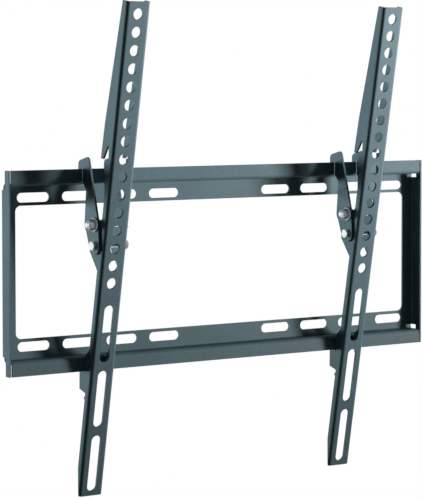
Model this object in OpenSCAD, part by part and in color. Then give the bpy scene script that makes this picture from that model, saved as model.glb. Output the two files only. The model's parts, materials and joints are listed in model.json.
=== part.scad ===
// Tilting wall mount for a flat television: a folded wall plate with two hook rails,
// and two folded channel arms that hang on the upper rail by pairs of hook plates.
// The wall is the plane Y = 0, the television hangs towards -Y, and Z is up.
// The origin is the middle of the wall plate's back face.

/* [Wall plate] */
// Width of the wall plate
plate_w = 440; // [400:5:600]
// Height of the wall plate over both rail lips
plate_h = 169; // [160:1:200]
// Depth of the wall plate, from the wall to the front of its lips
plate_d = 13; // [12:0.5:16]
// Thickness of the wall plate's sheet
plate_t = 1.5; // [1.2:0.1:1.8]
// Inner radius of the wall plate's folds
plate_bend_r = 1.5; // [1:0.1:2]
// Height of each rail lip, with its fold
lip_h = 12.5; // [11.5:0.5:14]
// Height of the window in the wall plate
window_h = 110; // [90:1:115]
// Width of the strip left beside the window, with the side fold
side_strip = 13; // [10:0.5:20]
// Radius of the window's corners
window_r = 5; // [2:0.5:10]
// Gap between a lip's end and the side flange
lip_end_gap = 1.2; // [0.5:0.1:2]
// Depth of the side flange's ears that close the lip ends
ear_d = 6; // [4:0.5:7]
// Height of the open relief at each corner, between the side flange and the rail
corner_relief = 3.5; // [2:0.5:5]

/* [Wall slots] */
// Number of wall slots in each half of a row
slots_per_half = 4; // [2:1:4]
// Distance between neighbouring wall slots
wall_slot_pitch = 43.4; // [40:0.1:46]
// Distance from the plate's middle to the first wall slot
wall_slot_first = 59.7; // [50:0.1:65]
// Length of a wall slot
wall_slot_l = 31; // [24:0.5:34]
// Width of a wall slot
wall_slot_w = 8; // [6:0.1:8.4]
// Height of a slot row above or below the plate's middle
wall_slot_z = 61.6; // [61.2:0.1:62.4]

/* [Arms] */
// Length of an arm
arm_len = 420; // [400:1:425]
// Width of an arm over its flanges
arm_w = 23; // [20:0.5:28]
// Thickness of the arm's sheet
arm_t = 2; // [1.5:0.1:2.4]
// Inner radius of the arm's folds
arm_bend_r = 1; // [0.8:0.1:1.5]
// Place of the left arm along the rail
left_x = -136; // [-190:1:-60]
// Place of the right arm along the rail
right_x = 130.5; // [60:0.5:190]
// Tilt of the arms as shown, top forward, which is also their largest tilt
tilt = 10.5; // [8:0.5:11]

/* [Screw holes for the television] */
// Number of round holes in an arm
hole_count = 16; // [8:1:16]
// Distance between neighbouring round holes
hole_pitch = 15; // [12:0.5:15]
// Diameter of the round holes
hole_d = 9.3; // [6:0.1:10]
// Distance from the arm's top to its first hole
first_hole = 10.2; // [8:0.1:12]
// Number of long slots in an arm
tv_slot_count = 3; // [1:1:3]
// Length of a long slot
tv_slot_l = 49; // [40:0.5:50]
// Distance between neighbouring long slots
tv_slot_pitch = 56.5; // [54:0.5:57]
// Distance from the arm's foot to its last slot
tv_slot_end = 4; // [3:0.5:6]

/* [Arm flanges] */
// Depth of the flange at the arm's top
flange_top = 7.4; // [6:0.1:9]
// Depth of the flange above its hook tooth
flange_deep = 17.2; // [15:0.1:19]
// Distance from the arm's top to the point of the hook tooth
tooth_down = 132.5; // [125:0.5:135]
// Width of the point of the hook tooth
tooth_tip = 3; // [2:0.1:4]
// Distance from the arm's top to where its flange is deep
flange_shoulder = 103; // [95:1:110]
// Depth of the flange where it is narrow
flange_slim = 6.5; // [6:0.1:8]
// Depth of the ear that carries the two bolts
ear_depth = 21; // [19:0.5:23]
// Length of that ear above the pivot
ear_above = 22; // [21:0.5:25]
// Length of that ear below the pivot
ear_below = 8; // [7:0.5:12]
// Height of the heel block under the lower rail
heel_h = 15; // [10:0.5:18]
// Reach of the heel block behind the front of the lower lip
heel_reach = 8.5; // [3:0.1:10]
// Gap between the tilted arm's foot and the wall
wall_gap = 1.4; // [1:0.1:2]

/* [Hook plates] */
// Thickness of a hook plate
hook_t = 2; // [1.5:0.1:3]
// Width of the hook tooth behind the upper lip
hook_tooth_w = 3.5; // [2.5:0.1:4]
// Length of the hook tooth below the top of the lip
hook_tooth_l = 8; // [6:0.5:8.5]
// Rise of the hook above the top of the lip
hook_rise = 10; // [8:0.5:12]
// Width of the hook where it crosses the lip
hook_w = 18; // [16:0.5:20]
// Radius of the hook plate round the pivot
hook_lobe_r = 7.5; // [6:0.1:9]

/* [Pivot and lock] */
// Distance from the front of the lip forward to the pivot
pivot_out = 18; // [16:0.5:20]
// Distance from the top of the lip down to the pivot
pivot_drop = 63; // [60:0.5:66]
// Distance from the arm's top to the pivot
pivot_down = 205.3; // [200:0.1:206]
// Depth of the pivot behind the arm's front face
pivot_deep = 11.7; // [11:0.1:13]
// Distance from the pivot up the arm to the lock bolt
lock_up = 17.4; // [16:0.1:18]
// Distance from the pivot back to the lock bolt
lock_back = 2.3; // [0:0.1:3]
// Diameter of the pivot bolt
pivot_d = 4; // [4:0.5:5]
// Width of the pivot bolt's head across its flats
pivot_head_af = 7; // [6:0.5:9]
// Diameter of the lock bolt
lock_d = 5; // [5:0.5:6]
// Width of the lock bolt's head across its flats
lock_head_af = 8; // [7:0.5:10]
// Diameter of the lock bolt's large washers
lock_washer_d = 12; // [11:0.5:14]
// Length of lock bolt that stands out of its nut
lock_stub = 2.8; // [1:0.1:6]

/* [Clearances] */
// Gap over the lip, under the hook
seat_gap = 0.2; // [0.1:0.05:0.4]
// Gap between the lip and the sides of the hook's notch
notch_gap = 1; // [0.6:0.1:1.4]
// Gap between pieces that slide on each other's faces
slide_gap = 0.1; // [0.05:0.05:0.2]
// Clearance round the bolts in their round holes
bolt_gap = 0.06; // [0.04:0.01:0.09]
// Clearance round the lock bolt in its curved slot
lock_slot_gap = 0.4; // [0.3:0.1:0.6]
// Gap between the heel block and the lower lip
heel_gap = 0.3; // [0.2:0.1:0.6]

/* [Hidden] */

// Colours of the powder coat and of the zinc-plated steel
coat_colour = [0.33, 0.40, 0.42];
coat_dark = [0.27, 0.33, 0.35];
zinc_colour = [0.80, 0.82, 0.84];

// Smoothness of round faces
round_fn = 64;
// Overlap of tools with what they cut, and of solids that join
over = 1;

// Wall plate
fold_r = plate_bend_r + plate_t;
lip_top = plate_h / 2;
shelf_z = lip_top - lip_h;
lip_front = -plate_d;
lip_back = lip_front + plate_t;
window_w = plate_w - 2 * side_strip;
side_top = shelf_z + plate_t - corner_relief - fold_r / 2;
lip_half = plate_w / 2 - plate_t - lip_end_gap;

// Arm: local Y runs back from the pivot and local Z runs up the arm
pivot_y = lip_front - pivot_out;
pivot_z = lip_top - pivot_drop;
arm_front = -pivot_deep;
arm_top = pivot_down;
arm_foot = pivot_down - arm_len;
arm_fold_r = arm_bend_r + arm_t;
tv_slot_w = hole_d;

// Small forms of the arm's flange: shoulder, hook tooth's notch and nose, ear, heel and nib
shoulder_step = 1;
tooth_notch_h = 12;
tooth_notch_rear = 9;
tooth_notch_front = 7.2;
tooth_notch_foot = 5.8;
nose_rise = 2;
nose_d = 11.6;
nose_h = 30;
ear_fillet = 3;
ear_slope = 12;
heel_slope = 8;
heel_taper = 2.5;
relief_d = 0.6;
relief_h = 2.6;
nib_d = 1.8;

// Across the arm, from its middle to each face
flange_x = arm_w / 2;
hook_x = flange_x + slide_gap;
hook_face = hook_x + hook_t;

// Small forms of the hook plate: its rounded head and tip, its front and rear lobes and the neck
head_r = 4;
head_rise = 3.6;
tip_r = 3.5;
lobe_in = 1.5;
front_lobe_r = 8;
rear_out = 6.5;
rear_r = 8;
neck_d = 5;

// Angles of the lock bolt about the pivot, upright and at the largest tilt
lock_r = norm([lock_up, lock_back]);
lock_upright = atan2(lock_up, lock_back);
lock_tilted = lock_upright + tilt;

// Hardware
pivot_head_h = pivot_d * 0.7;
pivot_nut_h = pivot_d;
pivot_washer_d = pivot_d * 2;
pivot_washer_t = pivot_d * 0.2;
lock_head_h = lock_d * 0.7;
lock_nut_h = lock_d * 0.85;
lock_washer_t = lock_d * 0.24;
pivot_stub = 1;
// Share of a thread's diameter broken off its end, height and width of a hexagon's chamfer
end_chamfer = 0.12;
hex_chamfer_h = 0.25;
hex_chamfer_w = 0.95;

// Points on an arc about c, from angle a0 to a1
function arc(c, r, a0, a1, n = 10) =
  [for (i = [0:n]) let (a = a0 + (a1 - a0) * i / n) [c[0] + r * cos(a), c[1] + r * sin(a)]];

// A point of the wall plate's frame, seen in the frame of the tilted arm
function to_arm(y, z) = let (dy = y - pivot_y, dz = z - pivot_z)
  [dy * cos(tilt) + dz * sin(tilt), dz * cos(tilt) - dy * sin(tilt)];

// A quarter of a folded sheet about the origin, in the quadrant of sx and sy
module fold(inner_r, t, sx, sy) {
  intersection() {
    difference() {
      circle(r = inner_r + t, $fn = round_fn);
      circle(r = inner_r, $fn = round_fn);
    }
    translate([sx > 0 ? 0 : -inner_r - t - over, sy > 0 ? 0 : -inner_r - t - over])
      square(inner_r + t + over);
  }
}

// A slot with round ends along X
module slot_outline(l, w) {
  straight = l - w;
  for (s = [-1, 1]) {
    translate([s * straight / 2, 0]) circle(d = w, $fn = round_fn);
  }
  square([straight, w], center = true);
}

// A rectangle with round corners
module window_outline(w, h, r) {
  square([w - 2 * r, h], center = true);
  square([w, h - 2 * r], center = true);
  for (sx = [-1, 1], sy = [-1, 1]) {
    translate([sx * (w / 2 - r), sy * (h / 2 - r)]) circle(r = r, $fn = round_fn);
  }
}

// Section of a rail: shelf, lip and both folds, with Y back and Z up
module rail_outline() {
  rear_fold = [-plate_t - plate_bend_r, shelf_z - plate_bend_r];
  lip_fold = [lip_back + plate_bend_r, shelf_z + fold_r];
  translate(rear_fold) fold(plate_bend_r, plate_t, 1, 1);
  translate([lip_fold[0], shelf_z]) square([rear_fold[0] - lip_fold[0], plate_t]);
  translate(lip_fold) fold(plate_bend_r, plate_t, -1, -1);
  translate([lip_front, lip_fold[1]]) square([plate_t, lip_top - lip_fold[1]]);
}

// The flat face, with its window and both rows of slots
module face_outline() {
  band_half = shelf_z - plate_bend_r;
  difference() {
    union() {
      square([2 * lip_half, 2 * band_half], center = true);
      square([plate_w - 2 * fold_r, 2 * side_top], center = true);
    }
    window_outline(window_w, window_h, window_r);
    for (sx = [-1, 1], sz = [-1, 1], k = [0:slots_per_half - 1]) {
      translate([sx * (wall_slot_first + k * wall_slot_pitch), sz * wall_slot_z])
        slot_outline(wall_slot_l, wall_slot_w);
    }
  }
}

// Section of a side flange and its fold, with X out and Y back
module side_outline() {
  half = plate_w / 2;
  translate([half - fold_r, -fold_r]) fold(plate_bend_r, plate_t, 1, 1);
  translate([half - plate_t, -plate_d]) square([plate_t, plate_d - fold_r]);
}

module wall_plate() {
  color(coat_colour) {
    rotate([90, 0, 0]) linear_extrude(plate_t) face_outline();
    for (m = [0, 1]) mirror([0, 0, m]) {
      rotate([90, 0, 90]) translate([0, 0, -lip_half]) linear_extrude(2 * lip_half) rail_outline();
    }
    for (m = [0, 1]) mirror([m, 0, 0]) {
      translate([0, 0, -side_top]) linear_extrude(2 * side_top) side_outline();
      translate([plate_w / 2 - plate_t, -plate_d, -lip_top]) cube([plate_t, ear_d, plate_h]);
    }
  }
}

// Section of the arm's channel, with X across and Y back from the front face
module channel_outline() {
  inner_w = arm_w - 2 * arm_t;
  difference() {
    union() {
      translate([-arm_w / 2, arm_fold_r]) square([arm_w, ear_depth]);
      translate([-arm_w / 2 + arm_fold_r, 0]) square([arm_w - 2 * arm_fold_r, ear_depth]);
      for (s = [-1, 1]) {
        translate([s * (arm_w / 2 - arm_fold_r), arm_fold_r]) circle(r = arm_fold_r, $fn = round_fn);
      }
    }
    translate([-inner_w / 2, arm_fold_r]) square([inner_w, ear_depth + over]);
    translate([-inner_w / 2 + arm_bend_r, arm_t]) square([inner_w - 2 * arm_bend_r, ear_depth]);
    for (s = [-1, 1]) {
      translate([s * (inner_w / 2 - arm_bend_r), arm_fold_r]) circle(r = arm_bend_r, $fn = round_fn);
    }
  }
}

// Side view of one flange, with Y back from the pivot and Z up the arm.
// Only the flange on the -X side has the heel block and the nib under it.
module flange_outline(has_block) {
  front = arm_front - over;
  slim = arm_front + flange_slim;
  deep = arm_front + flange_deep;
  ear = arm_front + ear_depth;
  tooth_z = arm_top - tooth_down;
  tooth_notch_z = tooth_z + tooth_notch_h;
  // Heel: an edge that bears on the lower lip, and a block that reaches under it
  lip_low = -lip_top;
  heel_face = lip_front - heel_gap;
  heel_top = lip_low - heel_gap;
  heel_back = lip_front + heel_reach;
  bear_top = to_arm(heel_face, lip_low + lip_h);
  bear_low = to_arm(heel_face, heel_top);
  block_top = to_arm(heel_back, heel_top);
  block_z = block_top[1] - heel_h;
  nib_z = block_z - 2 * nib_d;
  // Foot: a slope that stays parallel to the wall at the largest tilt
  wall_y = -wall_gap - pivot_y;
  slope_z = (slim * cos(tilt) - wall_y) / sin(tilt);
  foot_y = (wall_y + arm_foot * sin(tilt)) / cos(tilt);
  block = [
    [bear_low[0] - relief_d, bear_low[1] - relief_h], [bear_low[0] + 2 * relief_d, bear_low[1]], block_top,
    [block_top[0] - heel_taper, block_z], [slim, block_z - heel_taper / 2],
    [slim, nib_z], [slim + nib_d, nib_z - nib_d], [slim, nib_z - 2 * nib_d]
  ];
  polygon(concat(
    [[front, arm_foot], [front, arm_top], [arm_front + flange_top, arm_top]],
    [[deep - shoulder_step, arm_top - flange_shoulder]],
    // Hook tooth and the slanted notch in front of it
    [[deep, tooth_z], [deep - tooth_tip, tooth_z]],
    [[arm_front + tooth_notch_rear, tooth_notch_z], [arm_front + tooth_notch_front, tooth_notch_z]],
    [[arm_front + tooth_notch_foot, tooth_z + nose_rise], [arm_front + nose_d, tooth_z]],
    [[slim, tooth_z - nose_h]],
    // Ear that carries the bolts
    arc([slim + ear_fillet, ear_above + ear_fillet], ear_fillet, 180, 270, 6),
    arc([ear - ear_fillet, ear_above - ear_fillet], ear_fillet, 90, 0, 6),
    arc([ear - ear_fillet, -ear_below + ear_fillet], ear_fillet, 0, -55, 4),
    [[slim, -ear_below - ear_slope]],
    // Heel edge that bears on the lower lip, and the block with its relief
    [[slim, bear_top[1] + heel_slope], bear_top, bear_low],
    has_block ? block : [[slim, bear_low[1] - heel_slope]],
    [[slim, slope_z], [foot_y, arm_foot]]
  ));
}

// An arm in its own frame, upright, with the pivot at the origin
module arm_upright() {
  difference() {
    intersection() {
      translate([0, arm_front, arm_foot]) linear_extrude(arm_len) channel_outline();
      union() {
        rotate([90, 0, 90]) translate([0, 0, -arm_w]) linear_extrude(2 * arm_w) flange_outline(false);
        rotate([90, 0, 90]) translate([0, 0, -arm_w]) linear_extrude(arm_w) flange_outline(true);
      }
    }
    for (k = [0:hole_count - 1]) {
      translate([0, arm_front - over, arm_top - first_hole - k * hole_pitch])
        rotate([-90, 0, 0]) cylinder(d = hole_d, h = arm_t + 2 * over, $fn = round_fn);
    }
    for (k = [0:tv_slot_count - 1]) {
      translate([0, arm_front + arm_t + over, arm_foot + tv_slot_end + tv_slot_l / 2 + k * tv_slot_pitch])
        rotate([90, 90, 0]) linear_extrude(arm_t + 2 * over) slot_outline(tv_slot_l, tv_slot_w);
    }
    translate([-arm_w, 0, 0]) rotate([0, 90, 0])
      cylinder(d = pivot_d + 2 * bolt_gap, h = 2 * arm_w, $fn = round_fn);
    translate([-arm_w, lock_back, lock_up]) rotate([0, 90, 0])
      cylinder(d = lock_d + 2 * bolt_gap, h = 2 * arm_w, $fn = round_fn);
  }
}

// Side view of a hook plate, with Y back and Z up in the wall plate's frame
module hook_outline() {
  notch_front = lip_front - notch_gap;
  notch_back = lip_back + notch_gap;
  notch_top = lip_top + seat_gap;
  tooth_r = hook_tooth_w / 2;
  tooth_low = lip_top - hook_tooth_l;
  hook_back = notch_back + hook_tooth_w;
  head = [hook_back - head_r, lip_top + head_rise];
  tip = [hook_back - hook_w + tip_r + lobe_in, lip_top + hook_rise - tip_r];
  front_lobe = [pivot_y + lobe_in, pivot_z + lock_up];
  rear_lobe = [pivot_y + rear_out, pivot_z + lock_up];
  neck = [notch_front - neck_d, shelf_z - neck_d];
  notch_low = shelf_z + 2 * notch_gap;
  polygon(concat(
    arc([notch_back + tooth_r, tooth_low + tooth_r], tooth_r, 180, 360, 8),
    arc(head, head_r, 0, 72, 5),
    arc(tip, tip_r, 66, 158, 6),
    arc(front_lobe, front_lobe_r, 165, 185, 4),
    arc([pivot_y, pivot_z], hook_lobe_r, 185, 335, 12),
    arc(rear_lobe, rear_r, -45, 8, 5),
    [neck, [notch_front, notch_low], [notch_front, notch_top], [notch_back, notch_top]]
  ));
}

// The curved slot that lets the lock bolt follow the tilt, about the pivot
module lock_slot_outline() {
  half_w = lock_d / 2 + lock_slot_gap;
  low_end = [lock_r * cos(lock_upright), lock_r * sin(lock_upright)];
  high_end = [lock_r * cos(lock_tilted), lock_r * sin(lock_tilted)];
  polygon(concat(
    arc([0, 0], lock_r + half_w, lock_upright, lock_tilted),
    arc(high_end, half_w, lock_tilted + 15, lock_tilted + 165),
    arc([0, 0], lock_r - half_w, lock_tilted, lock_upright),
    arc(low_end, half_w, lock_upright + 195, lock_upright + 345)
  ));
}

// A hook plate, from X = 0 outwards
module hook_plate() {
  difference() {
    rotate([90, 0, 90]) linear_extrude(hook_t) difference() {
      hook_outline();
      translate([pivot_y, pivot_z]) lock_slot_outline();
    }
    translate([-over, pivot_y, pivot_z]) rotate([0, 90, 0])
      cylinder(d = pivot_d + 2 * bolt_gap, h = hook_t + 2 * over, $fn = round_fn);
  }
}

// A hexagon across flats af, with its edges broken on the face away from the work
module hexagon(af, h) {
  corners = af / cos(30);
  chamfer = h * hex_chamfer_h;
  intersection() {
    rotate(30) cylinder(d = corners, h = h, $fn = 6);
    union() {
      cylinder(d = corners, h = h - chamfer, $fn = round_fn);
      translate([0, 0, h - chamfer])
        cylinder(d1 = corners, d2 = af * hex_chamfer_w, h = chamfer, $fn = round_fn);
    }
  }
}

// A bolt along +Z, with the underside of its head at the origin and the head below
module bolt(d, af, head_h, l) {
  tip = d * end_chamfer;
  mirror([0, 0, 1]) hexagon(af, head_h);
  cylinder(d = d, h = l - tip, $fn = round_fn);
  translate([0, 0, l - tip]) cylinder(d1 = d, d2 = d - 2 * tip, h = tip, $fn = round_fn);
}

// A nut along +Z from the origin, with a plain bore
module nut(d, af, h) {
  difference() {
    hexagon(af, h);
    translate([0, 0, -over]) cylinder(d = d + 2 * bolt_gap, h = h + 2 * over, $fn = round_fn);
  }
}

// A flat washer along +Z from the origin
module washer(inner_d, outer_d, t) {
  difference() {
    cylinder(d = outer_d, h = t, $fn = round_fn);
    translate([0, 0, -over]) cylinder(d = inner_d + 2 * bolt_gap, h = t + 2 * over, $fn = round_fn);
  }
}

// Moves a piece from an upright arm's frame to its place on the wall plate
module on_arm(x) {
  translate([x, pivot_y, pivot_z]) rotate([tilt, 0, 0]) children();
}

// Turns a piece so that its Z runs along +X or -X, and sets it at x, y, z
module across(dir, x, y, z) {
  translate([x, y, z]) rotate([0, 90 * dir, 0]) children();
}

// The pivot set: head on the -X side, washer and nut on the +X side
pivot_seat = hook_face + pivot_washer_t;
pivot_l = 2 * hook_face + pivot_washer_t + pivot_nut_h + pivot_stub;
module pivot_bolt(x) {
  color(zinc_colour) across(1, x - hook_face, pivot_y, pivot_z)
    bolt(pivot_d, pivot_head_af, pivot_head_h, pivot_l);
}
module pivot_washer(x) {
  color(zinc_colour) across(1, x + hook_face, pivot_y, pivot_z)
    washer(pivot_d, pivot_washer_d, pivot_washer_t);
}
module pivot_nut(x) {
  color(zinc_colour) across(1, x + pivot_seat, pivot_y, pivot_z)
    nut(pivot_d, pivot_head_af, pivot_nut_h);
}

// The lock set: head and washer on the +X side, washer and nut on the -X side
lock_seat = hook_face + slide_gap;
lock_l = 2 * (lock_seat + lock_washer_t) + lock_nut_h + lock_stub;
module lock_bolt(x) {
  color(zinc_colour) on_arm(x) across(-1, lock_seat + lock_washer_t, lock_back, lock_up)
    bolt(lock_d, lock_head_af, lock_head_h, lock_l);
}
module lock_washer(x, dir) {
  color(zinc_colour) on_arm(x) across(dir, dir * lock_seat, lock_back, lock_up)
    washer(lock_d, lock_washer_d, lock_washer_t);
}
module lock_nut(x) {
  color(zinc_colour) on_arm(x) across(-1, -lock_seat - lock_washer_t, lock_back, lock_up)
    nut(lock_d, lock_head_af, lock_nut_h);
}

// The folded arm and its two hook plates at x along the rail
module arm(x) {
  color(coat_colour) on_arm(x) arm_upright();
}
module hook(x, dir) {
  color(coat_dark) translate([x + dir * (hook_x + hook_t / 2) - hook_t / 2, 0, 0]) hook_plate();
}

wall_plate();
arm(left_x);  // left_arm
hook(left_x, -1);  // left_hook_outer
hook(left_x, 1);  // left_hook_inner
pivot_bolt(left_x);  // left_pivot_bolt
pivot_washer(left_x);  // left_pivot_washer
pivot_nut(left_x);  // left_pivot_nut
lock_bolt(left_x);  // left_lock_bolt
lock_washer(left_x, 1);  // left_lock_washer_head
lock_washer(left_x, -1);  // left_lock_washer_nut
lock_nut(left_x);  // left_lock_nut
arm(right_x);  // right_arm
hook(right_x, -1);  // right_hook_inner
hook(right_x, 1);  // right_hook_outer
pivot_bolt(right_x);  // right_pivot_bolt
pivot_washer(right_x);  // right_pivot_washer
pivot_nut(right_x);  // right_pivot_nut
lock_bolt(right_x);  // right_lock_bolt
lock_washer(right_x, 1);  // right_lock_washer_head
lock_washer(right_x, -1);  // right_lock_washer_nut
lock_nut(right_x);  // right_lock_nut
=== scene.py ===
"""Finishes a tilting wall mount for a flat television: powder-coated sheets and zinc-plated hardware.

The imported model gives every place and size. The mount's axes are +X to the right along the wall plate,
+Y into the wall and +Z up, in metres.
"""

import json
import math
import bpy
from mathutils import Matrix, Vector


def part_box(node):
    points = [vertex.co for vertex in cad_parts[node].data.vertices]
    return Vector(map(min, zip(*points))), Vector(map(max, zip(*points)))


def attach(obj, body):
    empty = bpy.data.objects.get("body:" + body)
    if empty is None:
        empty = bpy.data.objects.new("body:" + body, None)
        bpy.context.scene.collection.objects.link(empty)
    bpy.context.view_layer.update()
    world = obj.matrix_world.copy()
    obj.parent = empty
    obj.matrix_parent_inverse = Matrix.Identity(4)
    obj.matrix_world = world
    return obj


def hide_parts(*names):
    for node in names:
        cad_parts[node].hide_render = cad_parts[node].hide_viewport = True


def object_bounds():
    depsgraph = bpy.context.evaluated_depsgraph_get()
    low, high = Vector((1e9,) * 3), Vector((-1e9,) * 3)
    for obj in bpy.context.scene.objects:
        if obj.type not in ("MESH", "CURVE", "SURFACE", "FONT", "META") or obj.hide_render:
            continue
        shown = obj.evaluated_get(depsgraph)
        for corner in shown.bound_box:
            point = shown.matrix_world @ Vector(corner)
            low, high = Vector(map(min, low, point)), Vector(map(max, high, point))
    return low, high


bl_info = {
    "name": "Tilting Wall Mount Finish",
    "version": (1, 0, 0),
    "blender": (4, 5, 0),
    "location": "3D View > Sidebar > Wall Mount",
    "description": "Softens and coats the folded sheets, turns the hardware and sets the stage",
    "category": "Object",
}

import bpy
from bpy.props import FloatProperty, FloatVectorProperty, IntProperty, PointerProperty
from mathutils import Vector

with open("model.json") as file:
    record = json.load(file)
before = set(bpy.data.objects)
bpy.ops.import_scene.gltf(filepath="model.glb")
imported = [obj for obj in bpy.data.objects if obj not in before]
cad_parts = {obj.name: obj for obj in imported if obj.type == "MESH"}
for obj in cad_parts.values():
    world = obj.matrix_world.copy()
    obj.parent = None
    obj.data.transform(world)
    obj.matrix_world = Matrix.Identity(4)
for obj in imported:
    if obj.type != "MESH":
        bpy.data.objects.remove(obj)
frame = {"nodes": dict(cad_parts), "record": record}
CAD_BOUNDS = [list(corner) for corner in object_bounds()]
NODES = frame["nodes"]
BODIES = frame["record"]["behaviour"]["bodies"]
SIDES = ("left", "right")
MM = 0.001

# Waves per metre of the noise in each finish
COAT_CLOUDS = 22.0
COAT_PATCHES = 160.0
COAT_GLOSS = 60.0
ZINC_CLOUDS = 380.0
ZINC_PITS = 2600.0

# Shapes of the hardware. Thread measures are in pitches, hexagon measures in widths across flats
THREAD_DEPTH = 0.6
THREAD_HALF_WIDTH = 0.45
THREAD_STEPS = 20
PLAIN_SHANK = 3
BORE_GAP = 0.1
COUNTERSINK = 0.5
HEX_EDGE = 0.02
HEX_FACE_RADIUS = 0.48
HEX_CHAMFER = math.radians(30)
WASHER_EDGE = 0.16

# The stage. The sensor is in mm and the floor in metres
LAMP_VALUES = ("place", "aim", "size", "power")
SENSOR_LENGTH = 36
FLOOR_SIZE = 30
WHITE = (1, 1, 1, 1)


class CoatSettings(bpy.types.PropertyGroup):
    """The powder coat of the folded sheets."""

    colour: FloatVectorProperty(
        name="Coat colour", description="Colour of the powder coat",
        subtype="COLOR", size=3, min=0, max=1, default=(0.112, 0.176, 0.198))
    dark: FloatVectorProperty(
        name="Shaded colour", description="Colour of the coat where it lies a little thicker",
        subtype="COLOR", size=3, min=0, max=1, default=(0.070, 0.118, 0.136))
    # The edge colour is a painted highlight: a lighter coat laid along the sheets' edges
    edge: FloatVectorProperty(
        name="Edge colour", description="Colour of the coat where it is drawn thin over an edge",
        subtype="COLOR", size=3, min=0, max=1, default=(0.21, 0.29, 0.31))
    roughness: FloatProperty(
        name="Roughness", description="Roughness of the coat", min=0, max=1, default=0.46)
    grain: FloatProperty(
        name="Grain", description="Size of the grain of the powder coat",
        unit="LENGTH", min=0.0001, max=0.01, default=0.0009)
    speckle: FloatProperty(
        name="Speckle", description="Size of the darker specks in the coat",
        unit="LENGTH", min=0.0002, max=0.01, default=0.0014)
    grain_height: FloatProperty(
        name="Grain height", description="Height of the grain of the powder coat",
        unit="LENGTH", min=0, max=0.001, default=0.00003)
    edge_radius: FloatProperty(
        name="Edge radius", description="Radius that the coat gives to the sheets' cut edges",
        unit="LENGTH", min=0.00005, max=0.001, default=0.00022)


class HardwareSettings(bpy.types.PropertyGroup):
    """The plated bolts, nuts and washers."""

    colour: FloatVectorProperty(
        name="Zinc colour", description="Colour of the bright zinc plating",
        subtype="COLOR", size=3, min=0, max=1, default=(0.93, 0.95, 0.96))
    tint: FloatVectorProperty(
        name="Zinc tint", description="Colour of the plating where it is a little thicker",
        subtype="COLOR", size=3, min=0, max=1, default=(0.76, 0.79, 0.81))
    # The nuts' colour and tint are a darker zinc that paints in shade: painted shade and painted dark
    # reflections on the nuts
    nut_shade_colour: FloatVectorProperty(
        name="Nut colour", description="Colour of the nuts' duller plating",
        subtype="COLOR", size=3, min=0, max=1, default=(0.34, 0.37, 0.39))
    nut_shade_tint: FloatVectorProperty(
        name="Nut tint", description="Colour of the nuts' plating where it is a little thicker",
        subtype="COLOR", size=3, min=0, max=1, default=(0.22, 0.25, 0.27))
    roughness: FloatProperty(
        name="Roughness", description="Roughness of the plating", min=0, max=1, default=0.22)
    pivot_diameter: FloatProperty(
        name="Pivot diameter", description="Diameter of the pivot bolt's thread",
        unit="LENGTH", min=0.003, max=0.006, default=0.004)
    pivot_flats: FloatProperty(
        name="Pivot flats", description="Width of the pivot bolt's head across its flats",
        unit="LENGTH", min=0.005, max=0.010, default=0.007)
    pivot_head: FloatProperty(
        name="Pivot head", description="Height of the pivot bolt's head",
        unit="LENGTH", min=0.001, max=0.005, default=0.0028)
    pivot_pitch: FloatProperty(
        name="Pivot thread pitch", description="Pitch of the pivot bolt's thread",
        unit="LENGTH", min=0.0004, max=0.002, default=0.0007)
    pivot_turn: FloatProperty(
        name="Pivot turn", description="Turn of the pivot bolt's head and nut about their axis",
        unit="ROTATION", min=0, max=math.pi, default=0)
    lock_diameter: FloatProperty(
        name="Lock diameter", description="Diameter of the lock bolt's thread",
        unit="LENGTH", min=0.004, max=0.007, default=0.005)
    lock_flats: FloatProperty(
        name="Lock flats", description="Width of the lock bolt's head across its flats",
        unit="LENGTH", min=0.006, max=0.012, default=0.008)
    lock_head: FloatProperty(
        name="Lock head", description="Height of the lock bolt's head",
        unit="LENGTH", min=0.001, max=0.006, default=0.0035)
    lock_pitch: FloatProperty(
        name="Lock thread pitch", description="Pitch of the lock bolt's thread",
        unit="LENGTH", min=0.0004, max=0.002, default=0.0008)
    lock_turn: FloatProperty(
        name="Lock turn", description="Turn of the lock bolt's head and nut about their axis",
        unit="ROTATION", min=0, max=math.pi, default=math.radians(30))
    facets: IntProperty(
        name="Facets", description="Facets of a turned surface", min=24, max=128, default=64)


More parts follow.
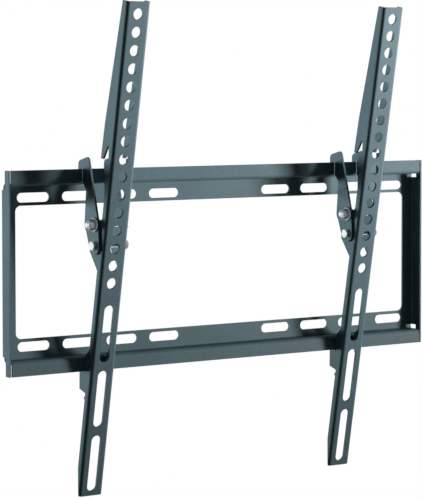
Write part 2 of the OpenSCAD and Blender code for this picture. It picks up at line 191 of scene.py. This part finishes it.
class StageSettings(bpy.types.PropertyGroup):
    """The floor, the lamps and the camera."""

    floor_drop: FloatProperty(
        name="Floor drop", description="Drop from the mount's lowest point to the floor",
        unit="LENGTH", min=0, max=2, default=0.30)
    floor_fade: FloatProperty(
        name="Floor fade", description="Distance from the mount at which the floor is plain white",
        unit="LENGTH", min=0.5, max=10, default=1.7)
    front_place: FloatVectorProperty(
        name="Front lamp place", description="Place of the lamp in front, on the right",
        subtype="XYZ", unit="LENGTH", size=3, default=(1.7, -1.10, 0.0))
    front_aim: FloatVectorProperty(
        name="Front lamp aim", description="Point that the front lamp looks at",
        subtype="XYZ", unit="LENGTH", size=3, default=(0.0, -0.05, 0.36))
    front_size: FloatProperty(
        name="Front lamp size", description="Side of the front lamp's square face",
        unit="LENGTH", min=0.01, max=5, default=0.4)
    front_power: FloatProperty(
        name="Front lamp", description="Power of the lamp in front, on the right",
        unit="POWER", min=0, max=1000, default=5.4)
    rear_place: FloatVectorProperty(
        name="Rear lamp place", description="Place of the lamp behind, on the left",
        subtype="XYZ", unit="LENGTH", size=3, default=(-1.0, 1.35, 0.0))
    rear_aim: FloatVectorProperty(
        name="Rear lamp aim", description="Point that the rear lamp looks at",
        subtype="XYZ", unit="LENGTH", size=3, default=(-0.08, -0.05, 0.20))
    rear_size: FloatProperty(
        name="Rear lamp size", description="Side of the rear lamp's square face",
        unit="LENGTH", min=0.01, max=5, default=0.6)
    rear_power: FloatProperty(
        name="Rear lamp", description="Power of the lamp behind, on the left",
        unit="POWER", min=0, max=1000, default=3.8)
    beam: FloatProperty(
        name="Beam", description="Spread of both lamps' beams",
        subtype="ANGLE", min=0.1, max=math.pi, default=math.radians(42))
    fill: FloatProperty(
        name="Fill", description="Strength of the light from all round", min=0, max=1, default=0.01)
    camera_place: FloatVectorProperty(
        name="Camera place", description="Place of the camera",
        subtype="XYZ", unit="LENGTH", size=3, default=(-1.1442, -1.6053, 0.1541))
    camera_yaw: FloatProperty(
        name="Camera yaw", description="Turn of the view to the right of the wall's normal",
        unit="ROTATION", default=math.radians(35.263))
    camera_pitch: FloatProperty(
        name="Camera pitch", description="Dip of the view below the horizon",
        unit="ROTATION", default=math.radians(2.907))
    camera_roll: FloatProperty(
        name="Camera roll", description="Roll of the camera",
        unit="ROTATION", default=math.radians(0.059))
    lens: FloatProperty(
        name="Lens", description="Focal length in mm for a picture 36 mm long",
        min=10, max=500, default=163.0)
    shift: FloatProperty(
        name="Shift", description="Shift of the lens, in parts of the long side",
        min=-0.5, max=0.5, default=-0.1)


def pick(obj):
    """Makes obj the only selected object and the active one."""
    bpy.ops.object.select_all(action="DESELECT")
    obj.hide_set(False)
    obj.select_set(True)
    bpy.context.view_layer.objects.active = obj


def edit(obj):
    """Opens obj in edit mode with nothing selected."""
    pick(obj)
    bpy.ops.object.mode_set(mode="EDIT")
    bpy.ops.mesh.select_all(action="DESELECT")


def leave_edit():
    """Goes back to object mode."""
    bpy.ops.object.mode_set(mode="OBJECT")


def apply_place(obj):
    """Puts the place and turn of obj into its mesh."""
    pick(obj)
    bpy.ops.object.transform_apply(location=True, rotation=True, scale=True)


def apply_modifiers(obj):
    """Applies every modifier of obj, from first to last."""
    pick(obj)
    for modifier in list(obj.modifiers):
        bpy.ops.object.modifier_apply(modifier=modifier.name)


def face_outwards(obj):
    """Turns every face of obj outwards."""
    edit(obj)
    bpy.ops.mesh.select_all(action="SELECT")
    bpy.ops.mesh.normals_make_consistent(inside=False)
    leave_edit()


def smooth(obj, angle):
    """Shades obj smooth, apart from edges sharper than angle."""
    pick(obj)
    bpy.ops.object.shade_smooth_by_angle(angle=angle)


def cut(obj, tool, operation="DIFFERENCE"):
    """Cuts obj with tool, which is used up."""
    pick(obj)
    modifier = obj.modifiers.new("cut", "BOOLEAN")
    modifier.operation = operation
    modifier.solver = "EXACT"
    modifier.object = tool
    apply_modifiers(obj)
    bpy.data.objects.remove(tool)


def flatten_faces(obj):
    """Turns the normals of obj to its large faces, so that these look flat up to their edges."""
    modifier = obj.modifiers.new("flat", "WEIGHTED_NORMAL")
    modifier.keep_sharp = True
    modifier.weight = 100
    apply_modifiers(obj)


def join(first, *others):
    """Joins the others into first and gives it back."""
    pick(first)
    for obj in others:
        obj.select_set(True)
    bpy.ops.object.join()
    return first


def bevel(obj, width, segments=2, angle=math.radians(40)):
    """Rounds the sharp edges of obj."""
    modifier = obj.modifiers.new("bevel", "BEVEL")
    modifier.width = width
    modifier.segments = segments
    modifier.limit_method = "ANGLE"
    modifier.angle_limit = angle
    modifier.use_clamp_overlap = True
    apply_modifiers(obj)


def body_of(node):
    """The body that a node belongs to."""
    return next(body for body, members in BODIES.items() if node in members)


def finish_piece(obj, node, material):
    """Gives obj its material and lets it stand for a node on that node's body."""
    obj.data.materials.clear()
    obj.data.materials.append(material)
    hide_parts(node)
    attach(obj, body_of(node))


def add_node(tree, kind, **values):
    """Adds a shader node and sets its attributes and inputs, named with underscores."""
    node = tree.nodes.new(kind)
    for name, value in values.items():
        if hasattr(node, name):
            setattr(node, name, value)
        else:
            node.inputs[name.replace("_", " ")].default_value = value
    return node


def new_material(name):
    """A material with a principled shader, its tree and the shader."""
    material = bpy.data.materials.new(name)
    material.use_nodes = True
    tree = material.node_tree
    return material, tree, tree.nodes["Principled BSDF"]


def noise(tree, place, scale, detail=3.0, roughness=0.55):
    """A noise on the object's own coordinates, with scale waves per metre."""
    node = add_node(tree, "ShaderNodeTexNoise", Scale=scale, Detail=detail, Roughness=roughness)
    tree.links.new(place.outputs["Object"], node.inputs["Vector"])
    return node


def spread(tree, source, low, high, start=0.3, end=0.7):
    """Maps a noise from start..end to low..high."""
    node = tree.nodes.new("ShaderNodeMapRange")
    node.inputs["From Min"].default_value = start
    node.inputs["From Max"].default_value = end
    node.inputs["To Min"].default_value = low
    node.inputs["To Max"].default_value = high
    tree.links.new(source, node.inputs["Value"])
    return node


def mix_colour(tree, fac, a, b):
    """Mixes two colours by fac. Each colour is a tuple or a socket."""
    node = tree.nodes.new("ShaderNodeMix")
    node.data_type = "RGBA"
    tree.links.new(fac, node.inputs["Factor"])
    for name, value in (("A", a), ("B", b)):
        socket = next(s for s in node.inputs if s.name == name and s.type == "RGBA")
        if isinstance(value, tuple):
            socket.default_value = value
        else:
            tree.links.new(value, socket)
    return next(s for s in node.outputs if s.type == "RGBA")


def coat_material(settings):
    """Satin powder coat: fine grain, faint clouds of tone, and a painted highlight along the edges."""
    material, tree, shader = new_material("satin_powder_coat")
    place = tree.nodes.new("ShaderNodeTexCoord")
    link = tree.links.new

    clouds = noise(tree, place, COAT_CLOUDS, detail=4.0)
    tone = spread(tree, clouds.outputs["Fac"], low=0.0, high=0.4)
    coat = mix_colour(tree, tone.outputs["Result"], (*settings.colour, 1), (*settings.dark, 1))

    # An edge is where a rounded normal leaves the face's own. There the coat is painted lighter, a
    # painted highlight broken into patches
    rounded = add_node(tree, "ShaderNodeBevel", samples=6, Radius=0.6 * MM)
    own = tree.nodes.new("ShaderNodeNewGeometry")
    bend = add_node(tree, "ShaderNodeVectorMath", operation="DOT_PRODUCT")
    link(rounded.outputs["Normal"], bend.inputs[0])
    link(own.outputs["Normal"], bend.inputs[1])
    edge = spread(tree, bend.outputs["Value"], low=0.55, high=0.0, start=0.86, end=0.985)
    patchy = noise(tree, place, COAT_PATCHES, detail=2.0)
    patches = spread(tree, patchy.outputs["Fac"], low=0.2, high=1.0)
    edge_highlight = add_node(tree, "ShaderNodeMath", operation="MULTIPLY")
    link(edge.outputs["Result"], edge_highlight.inputs[0])
    link(patches.outputs["Result"], edge_highlight.inputs[1])
    # The lighter edge colour is laid on here as a painted highlight
    highlighted_coat = mix_colour(tree, edge_highlight.outputs["Value"], coat, (*settings.edge, 1))

    # Fine speckle, as the powder flows out unevenly
    speckle = noise(tree, place, 1 / settings.speckle, roughness=0.7)
    dots = spread(tree, speckle.outputs["Fac"], low=0.0, high=0.55, start=0.42, end=0.66)
    speckled = mix_colour(tree, dots.outputs["Result"], highlighted_coat, (*settings.dark, 1))
    link(speckled, shader.inputs["Base Color"])

    grain = noise(tree, place, 1 / settings.grain, detail=2.0, roughness=0.5)
    bump = add_node(tree, "ShaderNodeBump", Strength=0.55, Distance=settings.grain_height)
    link(grain.outputs["Fac"], bump.inputs["Height"])
    link(bump.outputs["Normal"], shader.inputs["Normal"])

    gloss = noise(tree, place, COAT_GLOSS)
    satin = spread(
        tree, gloss.outputs["Fac"], low=settings.roughness - 0.04, high=settings.roughness + 0.06)
    link(satin.outputs["Result"], shader.inputs["Roughness"])
    shader.inputs["Specular IOR Level"].default_value = 0.08
    return material


def zinc_material(name, colour, tint, roughness):
    """Zinc plate: a faint cloudy tint, uneven gloss and fine pits."""
    material, tree, shader = new_material(name)
    place = tree.nodes.new("ShaderNodeTexCoord")
    link = tree.links.new

    clouds = noise(tree, place, ZINC_CLOUDS)
    tone = spread(tree, clouds.outputs["Fac"], low=0.0, high=1.0)
    clouded = mix_colour(tree, tone.outputs["Result"], (*colour, 1), (*tint, 1))
    link(clouded, shader.inputs["Base Color"])
    satin = spread(tree, clouds.outputs["Fac"], low=roughness - 0.07, high=roughness + 0.12)
    link(satin.outputs["Result"], shader.inputs["Roughness"])

    pits = noise(tree, place, ZINC_PITS, detail=2.0)
    bump = add_node(tree, "ShaderNodeBump", Strength=0.4, Distance=0.008 * MM)
    link(pits.outputs["Fac"], bump.inputs["Height"])
    link(bump.outputs["Normal"], shader.inputs["Normal"])
    shader.inputs["Metallic"].default_value = 1.0
    return material


def soft_sheet(node, radius):
    """A copy of a sheet node with its cut edges rounded as the coat rounds them."""
    flat_enough = math.radians(0.4)
    rounded_from = math.radians(30)
    sharp_from = math.radians(32)
    sheet = bpy.data.objects.new(node + "_coated", NODES[node].data.copy())
    bpy.context.scene.collection.objects.link(sheet)
    edit(sheet)
    bpy.ops.mesh.select_all(action="SELECT")
    bpy.ops.mesh.customdata_custom_splitnormals_clear()
    bpy.ops.mesh.remove_doubles(threshold=0.001 * MM)
    bpy.ops.mesh.dissolve_limited(angle_limit=flat_enough)
    leave_edit()
    bevel(sheet, radius, angle=rounded_from)
    smooth(sheet, sharp_from)
    flatten_faces(sheet)
    return sheet


def add_cone(x0, x1, place, r0, r1, facets):
    """A cone or cylinder along X, with radius r0 at x0 and r1 at x1.

    place is the Y and Z of its axis.
    """
    bpy.ops.object.select_all(action="DESELECT")
    bpy.ops.mesh.primitive_cone_add(
        vertices=facets, radius1=r0, radius2=r1, depth=abs(x1 - x0),
        location=((x0 + x1) / 2, *place), rotation=(0, math.copysign(math.pi / 2, x1 - x0), 0))
    obj = bpy.context.object
    apply_place(obj)
    return obj


def add_hexagon(x0, x1, place, flats, turn, facets, both):
    """A hexagon along X, chamfered at 30 degrees at x1, and at x0 too if both."""
    corner = flats / math.sqrt(3)
    height = abs(x1 - x0)
    bpy.ops.object.select_all(action="DESELECT")
    bpy.ops.mesh.primitive_cylinder_add(
        vertices=6, radius=corner, depth=height, rotation=(0, math.pi / 2, 0))
    obj = bpy.context.object
    apply_place(obj)
    obj.rotation_euler = (turn, 0, 0)
    obj.location = ((x0 + x1) / 2, *place)
    apply_place(obj)
    bevel(obj, HEX_EDGE * flats)
    face = HEX_FACE_RADIUS * flats
    foot_radius = face + height / math.tan(HEX_CHAMFER)
    chamfered = ((x0, x1), (x1, x0)) if both else ((x0, x1),)
    for foot, end in chamfered:
        cut(obj, add_cone(foot, end, place, foot_radius, face, facets), "INTERSECT")
    return obj


def add_thread(x0, x1, place, radius, pitch):
    """A ridge that winds along X from x0 to x1, with its crest at radius."""
    depth = THREAD_DEPTH * pitch
    bpy.ops.object.select_all(action="DESELECT")
    bpy.ops.mesh.primitive_circle_add(
        vertices=3, radius=depth, fill_type="NOTHING",
        location=(radius - depth, 0, 0), rotation=(math.pi / 2, 0, math.pi / 2))
    obj = bpy.context.object
    apply_place(obj)
    # The crest points outwards, and the foot lies inside the core
    foot = radius - 1.5 * depth
    half_width = THREAD_HALF_WIDTH * pitch
    corners = ((radius, 0, 0), (foot, 0, half_width), (foot, 0, -half_width))
    for vertex, corner in zip(obj.data.vertices, corners):
        vertex.co = corner
    screw = obj.modifiers.new("screw", "SCREW")
    screw.axis = "Z"
    screw.screw_offset = pitch
    screw.iterations = int(abs(x1 - x0) / pitch)
    screw.steps = THREAD_STEPS
    screw.render_steps = THREAD_STEPS
    apply_modifiers(obj)
    edit(obj)
    bpy.ops.mesh.select_all(action="SELECT")
    bpy.ops.mesh.fill_holes(sides=3)
    leave_edit()
    obj.rotation_euler = (0, math.pi / 2, 0)
    obj.location = (min(x0, x1), *place)
    apply_place(obj)
    face_outwards(obj)
    return obj


def axis_and_ends(node, along):
    """The Y and Z of a turned node's axis, and the X of its foot and of its end. along is 1 or -1."""
    low, high = (Vector(corner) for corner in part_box(node))
    place = ((low.y + high.y) / 2, (low.z + high.z) / 2)
    return place, *((low.x, high.x) if along > 0 else (high.x, low.x))


def make_bolt(node, along, diameter, flats, head, pitch, turn, facets):
    """A hexagon bolt with its thread. along is the way from its head to its end."""
    place, top, end = axis_and_ends(node, along)
    seat = top + along * head
    radius = diameter / 2
    core_radius = radius - THREAD_DEPTH * pitch
    plain_end = seat + along * PLAIN_SHANK * pitch
    thread_start = plain_end - along * pitch
    thread_end = end - along * pitch
    bolt = add_hexagon(seat, top, place, flats, turn, facets, both=False)
    shank = add_cone(seat, plain_end, place, radius, radius, facets)
    bevel(shank, 0.2 * pitch)
    core = add_cone(seat, end, place, core_radius, core_radius, facets)
    bevel(core, 0.5 * pitch, segments=1)
    ridge = add_thread(thread_start, thread_end, place, radius, pitch)
    return join(bolt, shank, core, ridge)


def make_nut(node, along, diameter, flats, pitch, turn, facets):
    """A hexagon nut with its bore countersunk at both ends."""
    place, foot, end = axis_and_ends(node, along)
    nut = add_hexagon(foot, end, place, flats, turn, facets, both=True)
    bore = diameter / 2 + BORE_GAP * pitch
    sink = COUNTERSINK * pitch
    middle = (foot + end) / 2
    for x in (foot, end):
        past = x + (x - middle) / 2
        cut(nut, add_cone(middle, past, place, bore, bore, facets))
        sink_foot = x - math.copysign(sink, x - middle)
        cut(nut, add_cone(sink_foot, x, place, bore, bore + sink, facets))
    return nut


def make_washer(node, along, diameter, pitch, facets):
    """A flat washer with rounded edges, bored as its nut is."""
    place, foot, end = axis_and_ends(node, along)
    low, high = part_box(node)
    radius = (high[1] - low[1]) / 2
    washer = add_cone(foot, end, place, radius, radius, facets)
    bore = diameter / 2 + BORE_GAP * pitch
    cut(washer, add_cone(2 * foot - end, 2 * end - foot, place, bore, bore, facets))
    bevel(washer, WASHER_EDGE * abs(end - foot))
    return washer


class MOUNT_OT_coat_sheets(bpy.types.Operator):
    """Round and coat the wall plate, the arms and the hook plates"""

    bl_idname = "mount.coat_sheets"
    bl_label = "Coat Sheets"

    def execute(self, context):
        settings = context.scene.wall_mount.coat
        coat = coat_material(settings)
        sheets = ["wall_plate"]
        sheets += [f"{side}_{part}" for side in SIDES for part in ("arm", "hook_outer", "hook_inner")]
        for node in sheets:
            finish_piece(soft_sheet(node, settings.edge_radius), node, coat)
        return {"FINISHED"}


class MOUNT_OT_plate_hardware(bpy.types.Operator):
    """Turn and plate the bolts, nuts and washers"""

    bl_idname = "mount.plate_hardware"
    bl_label = "Plate Hardware"

    def execute(self, context):
        sizes = context.scene.wall_mount.hardware
        bright = zinc_material("bright_zinc_plate", sizes.colour, sizes.tint, sizes.roughness)
        # The nuts get a darker zinc as painted shade
        shaded_nut_zinc = zinc_material(
            "dull_zinc_plate", sizes.nut_shade_colour, sizes.nut_shade_tint, sizes.roughness)
        for side in SIDES:
            for kind, along in (("pivot", 1), ("lock", -1)):
                self.fastener(side, kind, along, sizes, bright, shaded_nut_zinc)
        return {"FINISHED"}

    def fastener(self, side, kind, along, sizes, bright, shaded_nut_zinc):
        """The bolt, nut and washers of one pivot or lock."""
        names = ("diameter", "flats", "head", "pitch", "turn")
        diameter, flats, head, pitch, turn = (getattr(sizes, f"{kind}_{name}") for name in names)
        for node in (name for name in NODES if name.startswith(f"{side}_{kind}_")):
            if node.endswith("bolt"):
                piece = make_bolt(node, along, diameter, flats, head, pitch, turn, sizes.facets)
            elif "washer" in node:
                piece = make_washer(node, along, diameter, pitch, sizes.facets)
            else:
                piece = make_nut(node, along, diameter, flats, pitch, turn, sizes.facets)
            piece.name = node + "_plated"
            smooth(piece, math.radians(30))
            finish_piece(piece, node, shaded_nut_zinc if node.endswith("nut") else bright)


def camera_ray_mix(tree, lit, shown, output):
    """Lets the camera, mirrors and glass see shown, and everything else see lit."""
    path = tree.nodes.new("ShaderNodeLightPath")
    either = add_node(tree, "ShaderNodeMath", operation="MAXIMUM")
    any_of = add_node(tree, "ShaderNodeMath", operation="MAXIMUM")
    tree.links.new(path.outputs["Is Camera Ray"], either.inputs[0])
    tree.links.new(path.outputs["Is Glossy Ray"], either.inputs[1])
    tree.links.new(either.outputs["Value"], any_of.inputs[0])
    tree.links.new(path.outputs["Is Transmission Ray"], any_of.inputs[1])
    mix = tree.nodes.new("ShaderNodeMixShader")
    tree.links.new(any_of.outputs["Value"], mix.inputs["Fac"])
    tree.links.new(lit, mix.inputs[1])
    tree.links.new(shown, mix.inputs[2])
    tree.links.new(mix.outputs["Shader"], output)


class MOUNT_OT_set_stage(bpy.types.Operator):
    """Set the floor, the lamps, the world and the camera"""

    bl_idname = "mount.set_stage"
    bl_label = "Set Stage"

    def execute(self, context):
        settings = context.scene.wall_mount.stage
        self.floor(settings)
        self.lamps(settings)
        self.world(settings)
        self.camera(context, settings)
        context.scene.view_settings.view_transform = "Standard"
        return {"FINISHED"}

    def floor(self, settings):
        """A pale floor below the mount that keeps its shadow."""
        height = CAD_BOUNDS[0][2] - settings.floor_drop
        bpy.ops.object.select_all(action="DESELECT")
        bpy.ops.mesh.primitive_plane_add(size=FLOOR_SIZE, location=(0, 0, height))
        floor = bpy.context.object
        floor.name = "floor"
        apply_place(floor)
        material, tree, shader = new_material("pale_floor")
        link = tree.links.new
        shader.inputs["Base Color"].default_value = (0.3, 0.3, 0.3, 1)
        shader.inputs["Roughness"].default_value = 0.9
        # The camera sees the floor's own light and shade faintly, over plain white
        glow = add_node(tree, "ShaderNodeEmission", Strength=1.0)
        shadowed = add_node(tree, "ShaderNodeMixShader", Fac=0.85)
        link(shader.outputs["BSDF"], shadowed.inputs[1])
        link(glow.outputs["Emission"], shadowed.inputs[2])
        # Away from the mount the floor fades to plain white
        place = tree.nodes.new("ShaderNodeTexCoord")
        distance = add_node(tree, "ShaderNodeVectorMath", operation="LENGTH")
        link(place.outputs["Object"], distance.inputs[0])
        fade = spread(
            tree, distance.outputs["Value"], low=0.0, high=1.0,
            start=settings.floor_fade / 2, end=settings.floor_fade)
        seen = tree.nodes.new("ShaderNodeMixShader")
        link(fade.outputs["Result"], seen.inputs["Fac"])
        link(shadowed.outputs["Shader"], seen.inputs[1])
        link(glow.outputs["Emission"], seen.inputs[2])
        output = tree.nodes["Material Output"].inputs["Surface"]
        camera_ray_mix(tree, shader.outputs["BSDF"], seen.outputs["Shader"], output)
        floor.data.materials.append(material)

    def lamps(self, settings):
        """One lamp in front on the right and one behind on the left.

        Both are aimed high, so that their light fades downwards.
        """
        for end in ("front", "rear"):
            place, aim, size, power = (getattr(settings, f"{end}_{name}") for name in LAMP_VALUES)
            data = bpy.data.lights.new(f"{end}_lamp", "AREA")
            data.size = size
            data.energy = power
            data.spread = settings.beam
            lamp = bpy.data.objects.new(f"{end}_lamp", data)
            bpy.context.scene.collection.objects.link(lamp)
            lamp.location = place
            lamp.rotation_euler = (Vector(aim) - Vector(place)).to_track_quat("-Z", "Y").to_euler()
            # The rear lamp would glare in the plated ends
            lamp.visible_glossy = end == "front"

    def world(self, settings):
        """A dim light from all round, behind which the camera sees white."""
        world = bpy.data.worlds.new("studio")
        bpy.context.scene.world = world
        world.use_nodes = True
        tree = world.node_tree
        dim = tree.nodes["Background"]
        dim.inputs["Color"].default_value = WHITE
        dim.inputs["Strength"].default_value = settings.fill
        white = add_node(tree, "ShaderNodeBackground", Strength=1.0, Color=WHITE)
        output = tree.nodes["World Output"].inputs["Surface"]
        camera_ray_mix(tree, dim.outputs["Background"], white.outputs["Background"], output)

    def camera(self, context, settings):
        """The camera that took the photograph."""
        data = bpy.data.cameras.new("camera")
        data.sensor_width = SENSOR_LENGTH
        data.lens = settings.lens
        data.shift_y = settings.shift
        data.clip_end = 50
        camera = bpy.data.objects.new("camera", data)
        context.scene.collection.objects.link(camera)
        camera.location = settings.camera_place
        camera.rotation_mode = "XYZ"
        tilt = math.radians(90) - settings.camera_pitch
        camera.rotation_euler = (tilt, settings.camera_roll, -settings.camera_yaw)
        context.scene.camera = camera


class MountSettings(bpy.types.PropertyGroup):
    """Everything about the mount's finish that a user would change."""

    coat: PointerProperty(type=CoatSettings)
    hardware: PointerProperty(type=HardwareSettings)
    stage: PointerProperty(type=StageSettings)


class MOUNT_PT_finish(bpy.types.Panel):
    """Steps and settings of the wall mount's finish"""

    bl_idname = "MOUNT_PT_finish"
    bl_label = "Wall Mount"
    bl_space_type = "VIEW_3D"
    bl_region_type = "UI"
    bl_category = "Wall Mount"

    def draw(self, context):
        settings = context.scene.wall_mount
        for step in STEPS:
            self.layout.operator(step.bl_idname)
        for group in (settings.coat, settings.hardware, settings.stage):
            box = self.layout.box()
            for name in group.__annotations__:
                box.prop(group, name)


STEPS = (MOUNT_OT_coat_sheets, MOUNT_OT_plate_hardware, MOUNT_OT_set_stage)
CLASSES = (CoatSettings, HardwareSettings, StageSettings, MountSettings, *STEPS, MOUNT_PT_finish)


def register():
    for cls in CLASSES:
        bpy.utils.register_class(cls)
    bpy.types.Scene.wall_mount = PointerProperty(type=MountSettings)


def unregister():
    del bpy.types.Scene.wall_mount
    for cls in reversed(CLASSES):
        bpy.utils.unregister_class(cls)


def main():
    register()
    bpy.ops.mount.coat_sheets()
    bpy.ops.mount.plate_hardware()
    bpy.ops.mount.set_stage()


if __name__ == "__main__":
    main()
